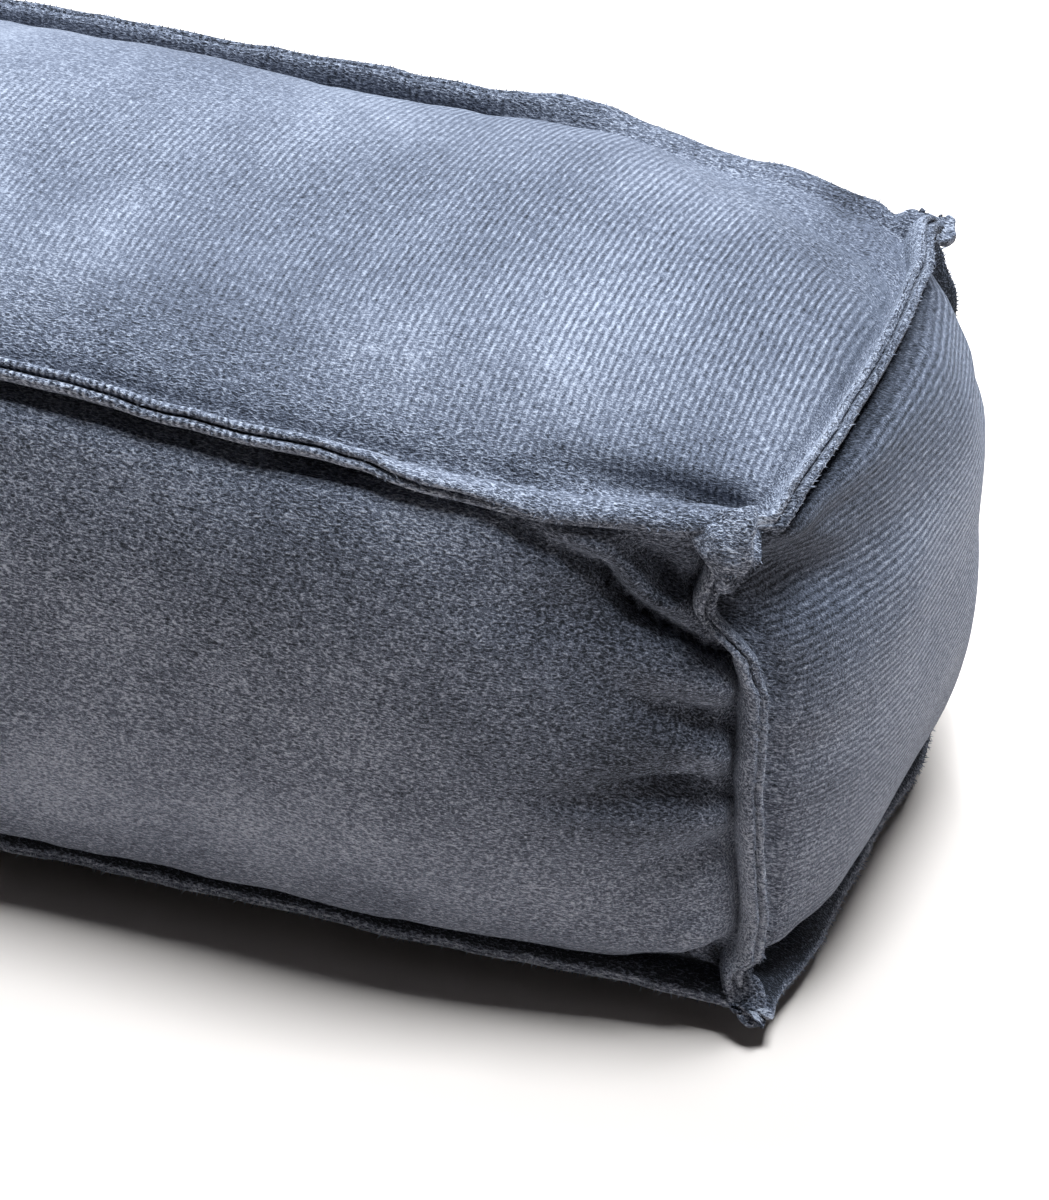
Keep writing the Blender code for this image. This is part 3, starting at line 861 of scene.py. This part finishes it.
def shapeCover(obj):
    # carries each point of the cut box to its place on the sewn cover, and lays out the cloth
    mesh = obj.data
    index = np.round((readAll(mesh.vertices, "co", 3) + 0.5) * cells).astype(int)
    grids = {panel: panelGrid(panel) for panel in panels}
    placed = np.zeros((len(index), 3))
    for panel in ("left", "right", "front", "back", "top", "bottom"):
        uAxis, vAxis = crossAxes(panels[panel][0])
        on = onPanel(index, panel)
        placed[on] = grids[panel][index[on, uAxis], index[on, vAxis]]
    loops = readAll(mesh.loops, "vertex_index", kind=int)
    facing = readAll(mesh.polygons, "normal", 3)
    sizes = readAll(mesh.polygons, "loop_total", kind=int)
    cloth = np.zeros((len(loops), 2))
    for panel, (axis, side) in panels.items():
        uAxis, vAxis = crossAxes(axis)
        steps = [np.linalg.norm(np.diff(grids[panel], axis=way), axis=2).mean(1 - way) for way in (0, 1)]
        laid = [np.concatenate([[0], np.cumsum(step)]) for step in steps]
        laid = [row - row.mean() for row in laid]
        on = np.repeat(side * facing[:, axis] > 0.5, sizes)
        uCloth, vCloth = laid[0][index[loops[on], uAxis]], laid[1][index[loops[on], vAxis]]
        if panel == "top":
            uCloth = placed[loops[on], xAxis]
            skew = cover["ribSkew"] * ramp((uCloth.max() - uCloth) / mm, *cover["skewSpan"])
            uCloth = uCloth - skew * vCloth
        # ribs are counted along the first coordinate and run along the second
        cloth[on] = np.stack((vCloth, uCloth) if axis != zAxis else (uCloth, vCloth), axis=1)
    layer = mesh.uv_layers[0]
    layer.name = "cloth"
    layer.data.foreach_set("uv", cloth.ravel())
    mesh.vertices.foreach_set("co", placed.ravel())
    rough = 1 + placedChanges(index, roughPlaces) + edgeRoughness * smooth(edgeDepth(index) - 1)
    fillAttributes(mesh, {
        "ribClear": ribClearness(index, ribShow), "paintedLightAndNap": paintedLightAndNapTones(index),
        "lipTeeth": lipTeeth(index), "pileRough": rough,
    })
    mesh.update()
    mesh.polygons.foreach_set("use_smooth", np.ones(len(mesh.polygons), bool))


velvetCover = addCutBox("velvetCover", cells)
print("cut box ready", len(velvetCover.data.polygons), "faces")
shapeCover(velvetCover)
print("cover shaped")


# velvet: dyed cotton velvet woven in fine ribs, its short pile brushed. Matt with a pale sheen at
# grazing angles; the pile's lie gives soft lighter and darker clouds.

velvet = {
    "name": "cottonRibVelvet",
    "pileDark": "#1e2025",
    "pileMid": "#5c606c",
    "pileLight": "#a6a9b3",
    "roughness": 0.92,
    "gloss": 0.15,
    "sheen": 0.2,
    "sheenRoughness": 0.45,
    "sheenTint": "#c9d4ea",
    "ribPitch": 1.3,  # mm
    "ribWander": (0.22, 7),  # how far the ribs stray and how slowly, mm
    "ribTone": 0.2,
    "tuft": (0.45, 1.6),  # mm across and along the ribs
    "tuftTone": 0.6,
    "felt": 0.36,  # mm, where the ribs are brushed over
    "feltTone": 1.4,
    "brushed": 0.8,  # share of the felt that gives way to tufts on clear ribs
    "lie": (0.45, 1, 1),  # draws felt and wisps out along the bolster
    "wisp": 0.52,  # mm
    "wispWidth": (0.09, -0.07),  # half width of a wisp's ridge, and the floor between two
    "wispTone": 2.5,
    "fibre": 0.22,  # mm
    "fibreTone": 0.9,
    "toothTone": 0.55,  # ribs' ends along the lips
    "toothPatch": 2.6,  # mm
    "toothSize": (0.45, 1.6),  # middle, and change from patch to patch
    "toothStray": 3.5,
    "noiseRoughness": 0.55,
    "cloud": 34,  # mm
    "cloudLie": (1, 0.7, 1),
    "cloudTone": 0.64,
    "reliefDepth": 0.3,  # mm
    "reliefStrength": 0.8,
}


def velvetMaterial(look):
    material = newMaterial(look["name"], {
        "Roughness": look["roughness"], "Specular IOR Level": look["gloss"],
        "Sheen Weight": look["sheen"], "Sheen Roughness": look["sheenRoughness"],
        "Sheen Tint": linearColour(look["sheenTint"]),
    })
    tree = material.node_tree
    surface = tree.nodes["Principled BSDF"]
    place = addNode(tree, "TexCoord")
    cloth = addNode(tree, "UVMap", {"uv_map": "cloth"})
    ribClear, paintedLightAndNap, lipTeeth, pileRough = (
        addNode(tree, "Attribute", {"attribute_name": name}).outputs["Fac"]
        for name in ("ribClear", "paintedLightAndNap", "lipTeeth", "pileRough")
    )

    def sums(operation, *inputs):
        node = addNode(tree, "Math", {"operation": operation})
        for number, value in enumerate(inputs):
            if isinstance(value, (int, float)):
                node.inputs[number].default_value = value
            else:
                tree.links.new(value, node.inputs[number])
        return node.outputs[0]

    times, timesPlus = partial(sums, "MULTIPLY"), partial(sums, "MULTIPLY_ADD")

    def noise(size, detail, source=None, stretch=(1, 1, 1), offset=0):
        # noise about 0, from -0.5 to 0.5, with its size in mm
        scaled = addNode(tree, "Mapping", values={
            "Scale": tuple(part / (size * mm) for part in stretch), "Location": (offset, offset, 0),
        }, links={"Vector": source or place.outputs["Object"]})
        made = addNode(tree, "TexNoise", {"noise_dimensions": "3D"}, {
            "Scale": 1, "Detail": detail, "Roughness": look["noiseRoughness"],
        }, {"Vector": scaled.outputs["Vector"]})
        return sums("SUBTRACT", made.outputs["Fac"], 0.5)

    parts = addNode(tree, "SeparateXYZ", links={"Vector": cloth.outputs["UV"]})
    stray, strayLength = look["ribWander"]
    across = timesPlus(noise(strayLength, 1), 2 * stray * mm, parts.outputs["X"])
    turnRate = 2 * math.pi / (look["ribPitch"] * mm)
    turn = times(across, turnRate)
    ribs = times(sums("SINE", turn), ribClear)
    shifted = addNode(tree, "CombineXYZ", links={"X": across, "Y": parts.outputs["Y"]})
    tuftAcross, tuftAlong = look["tuft"]
    tufts = noise(1, 0, shifted.outputs["Vector"], (1 / tuftAcross, 1 / tuftAlong, 1))
    fibres = noise(look["fibre"], 1)
    felt = noise(look["felt"], 1, stretch=look["lie"], offset=3)
    wisps = sums("ABSOLUTE", noise(look["wisp"], 0, stretch=look["lie"], offset=8))
    ridge, ridgeFloor = look["wispWidth"]
    wisps = sums("MAXIMUM", sums("SUBTRACT", ridge, wisps), ridgeFloor)
    feltTone, tuftTone, brushed = look["feltTone"], look["tuftTone"], look["brushed"]
    felt = timesPlus(wisps, look["wispTone"] / feltTone, felt)
    feltShare = timesPlus(ribClear, -brushed * feltTone, feltTone)
    tuftShare = timesPlus(ribClear, brushed * tuftTone, (1 - brushed) * tuftTone)
    pile = timesPlus(tufts, tuftShare, times(felt, feltShare))
    pile = timesPlus(ribs, look["ribTone"], pile)
    pile = timesPlus(fibres, look["fibreTone"], pile)
    spot = addNode(tree, "SeparateXYZ", links={"Vector": place.outputs["Object"]})
    toothStray = times(felt, look["toothStray"])
    toothTurn = timesPlus(spot.outputs["X"], turnRate, toothStray)
    middle, change = look["toothSize"]
    toothSize = timesPlus(noise(look["toothPatch"], 1, offset=5), change, middle)
    teeth = times(times(sums("SINE", toothTurn), toothSize), lipTeeth)
    pile = timesPlus(teeth, look["toothTone"], pile)
    pile = times(pile, pileRough)
    relief = addNode(tree, "Bump", values={
        "Strength": look["reliefStrength"], "Distance": look["reliefDepth"] * mm,
    }, links={"Height": pile})
    clouds = times(noise(look["cloud"], 4, stretch=look["cloudLie"]), look["cloudTone"])
    # the attribute adds the cover's painted light and shade to the pile's tone
    tone = sums("ADD", sums("ADD", pile, clouds), paintedLightAndNap)
    tones = addNode(tree, "ValToRGB", links={"Fac": tone})
    stops = tones.color_ramp.elements
    stops[0].color, stops[1].color = (linearColour(look[name]) for name in ("pileDark", "pileLight"))
    stops.new(0.5).color = linearColour(look["pileMid"])
    tree.links.new(tones.outputs["Color"], surface.inputs["Base Color"])
    tree.links.new(relief.outputs["Normal"], surface.inputs["Normal"])
    return material


coverVelvet = velvetMaterial(velvet)
print("velvet ready")


# folded ends of the pinched edges: small doubled flaps at the right end's corners

foldedEnds = {
    "cells": (10, 12),
    "thickness": 2.2,  # mm
    "rounding": 2,
    "clothSide": 10,  # mm of cloth over a flap
    "lumps": (0.5, 2.4),  # height and size of the unevenness
    "pile": {"ribClear": 0.1, "paintedLightAndNap": 0.48, "lipTeeth": 0, "pileRough": 1.2},
}
# rows from the root to the free end, in mm: one side, other side, bulge towards the front
foldRows = {
    "frontTopFold": (
        ((427, -47, 104), (440, -48, 108.9), 0.4),
        ((428.5, -49.8, 102.4), (440.7, -50.6, 107.3), 1),
        ((431, -51.4, 101.2), (441, -52.4, 104.6), 1.3),
        ((433.8, -52.8, 99.7), (441.4, -53, 101.8), 1.2),
        ((435.4, -53.2, 97.2), (439.4, -53, 98.2), 0.8),
        ((436.2, -52.6, 94.4), (437.2, -52.4, 94.6), 0.3),
    ),
    "backTopFold": (
        ((434.6, 49, 94.9), (432.7, 54.2, 96.7), 0.2), ((437.2, 53.5, 93), (435.1, 58.7, 95.4), 0.9),
        ((439, 57, 91.8), (436.9, 62.2, 94), 1.2), ((440.5, 58.5, 91.8), (438.4, 63.7, 93.2), 1),
        ((441.3, 60.2, 92), (439.6, 63.4, 92.4), 0.4),
    ),
    "backTopLobe": (
        ((434.4, 47.5, 99.6), (432.1, 52.7, 98.2), 0.3), ((435.4, 50.5, 98.6), (433.3, 55.7, 98.2), 0.9),
        ((436.8, 52.5, 97.6), (434.7, 57.7, 97.6), 1.2), ((437.8, 54, 96.8), (435.7, 59.2, 96), 0.9),
        ((438.6, 55.6, 95.4), (437.2, 59.4, 94.4), 0.3),
    ),
    "frontBottomFold": (
        ((437, -47, 15), (438.6, -47, 15), 0.2), ((436.6, -50.2, 11.4), (441.4, -48.2, 11.4), 0.7),
        ((437.4, -51.6, 8.4), (443.6, -49.4, 8.4), 0.8), ((439.8, -52.6, 5.8), (445.2, -51.4, 5.6), 0.6),
        ((443, -53.4, 4), (445, -53.2, 3.9), 0.2),
    ),
}


def addFoldedEnd(name, rows, look):
    deselectAll()
    across, down = look["cells"]
    bpy.ops.mesh.primitive_grid_add(x_subdivisions=across, y_subdivisions=down, size=1)
    fold = bpy.context.active_object
    fold.name = name
    first, second = (np.array([row[side] for row in rows], float) for side in (0, 1))
    bulges = np.array([row[2] for row in rows])
    steps = np.linspace(0, 1, len(rows))

    def along(side, down):
        return np.array([np.interp(down, steps, side[:, axis]) for axis in axes])

    for vertex in fold.data.vertices:
        share, down = vertex.co.x + 0.5, vertex.co.y + 0.5
        place = mix(along(first, down), along(second, down), share)
        place[yAxis] -= np.interp(down, steps, bulges) * math.sin(math.pi * share)
        vertex.co = Vector(place * mm)
    layer = fold.data.uv_layers[0]
    layer.name = "cloth"
    for spot in layer.data:
        spot.uv = spot.uv * (look["clothSide"] * mm)
    fillAttributes(fold.data, look["pile"])
    wall = fold.modifiers.new("doubled", "SOLIDIFY")
    wall.thickness, wall.offset = look["thickness"] * mm, 0
    rounding = fold.modifiers.new("rounded", "SUBSURF")
    rounding.levels = rounding.render_levels = look["rounding"]
    for modifier in ("doubled", "rounded"):
        bpy.ops.object.modifier_apply(modifier=modifier)
    turnNormalsOut()
    height, size = look["lumps"]
    for vertex in fold.data.vertices:
        x, y, z = vertex.co / (size * mm)
        lump = float(softNoise(np.float64(x + 0.6 * y), np.float64(z + 0.4 * y), 31))
        vertex.co += vertex.normal * (height * mm * lump)
    bpy.ops.object.shade_smooth()
    return fold


foldPieces = [addFoldedEnd(name, rows, foldedEnds) for name, rows in foldRows.items()]
print("folded ends ready")


# loose pile along the lips of the pinched edges: tiny pointed tufts, in one mesh

lipPile = {
    "spacing": 0.75,  # mm
    "endSpacing": 0.28,  # round the right end
    "inset": 0.002,  # share of an edge left free at its ends
    "length": (0.4, 1.1),
    "sunk": 0.2,
    "width": 0.15,
    "spread": 0.8,  # how far the tufts lean off the edge's own direction
    "floorGap": 0.05,
    # the tufts are painted lighter than the cloth: a painted highlight along the lips
    "pile": {"ribClear": 0.1, "paintedLightAndNap": 0.64, "lipTeeth": 0, "pileRough": 0.6},
}


def addLipPile(look):
    random = np.random.default_rng(7)
    points, faces = [], []
    for names in seamShapes:
        length = cover["length"] if not {"left", "right"} & set(names) else cover["depth"]
        count = int(length / look["endSpacing" if "right" in names else "spacing"])
        for panel, number in product(names, range(count)):
            share = (number + random.random()) / count
            share = min(max(share, look["inset"]), 1 - look["inset"])
            root = edgePoint(names, share, panel, lipLevel + int(random.integers(-1, 2)))
            lip = edgePoint(names, share, panel, lipLevel)
            further = edgePoint(names, share + look["inset"] / 2, panel, lipLevel)
            out = unit(lip - edgePoint(names, share, panel, stitchLevel))
            out = unit(out + random.uniform(-1, 1, 3) * look["spread"])
            side = unit(np.cross(out, further - root))
            other = np.cross(out, side)
            tip = root + out * random.uniform(*look["length"])
            first = len(points)
            for turn in (0, 2 * math.pi / 3, 4 * math.pi / 3):
                ring = side * math.cos(turn) + other * math.sin(turn)
                points.append(root - out * look["sunk"] + ring * look["width"])
            points.append(tip)
            faces += [(first, first + 1, first + 3), (first + 1, first + 2, first + 3)]
            faces += [(first + 2, first, first + 3), (first, first + 2, first + 1)]
    places = np.array(points) + (*cover["middleShift"], 0)
    places[:, zAxis] = np.maximum(places[:, zAxis], look["floorGap"])
    deselectAll()
    bpy.ops.mesh.primitive_cone_add(vertices=3, radius1=mm, depth=mm)
    pile = bpy.context.active_object
    pile.name = "lipPile"
    mesh = pile.data
    mesh.clear_geometry()
    mesh.from_pydata((places * mm).tolist(), [], faces)
    bpy.ops.object.transform_apply()
    mesh.uv_layers.new(name="cloth")
    fillAttributes(mesh, look["pile"])
    turnNormalsOut()
    return pile


lipPilePiece = addLipPile(lipPile)
print("loose pile ready", len(lipPilePiece.data.polygons), "faces")

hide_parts("filled_cover")
for piece in (velvetCover, *foldPieces, lipPilePiece):
    piece.data.materials.clear()
    piece.data.materials.append(coverVelvet)
    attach(piece, "root")
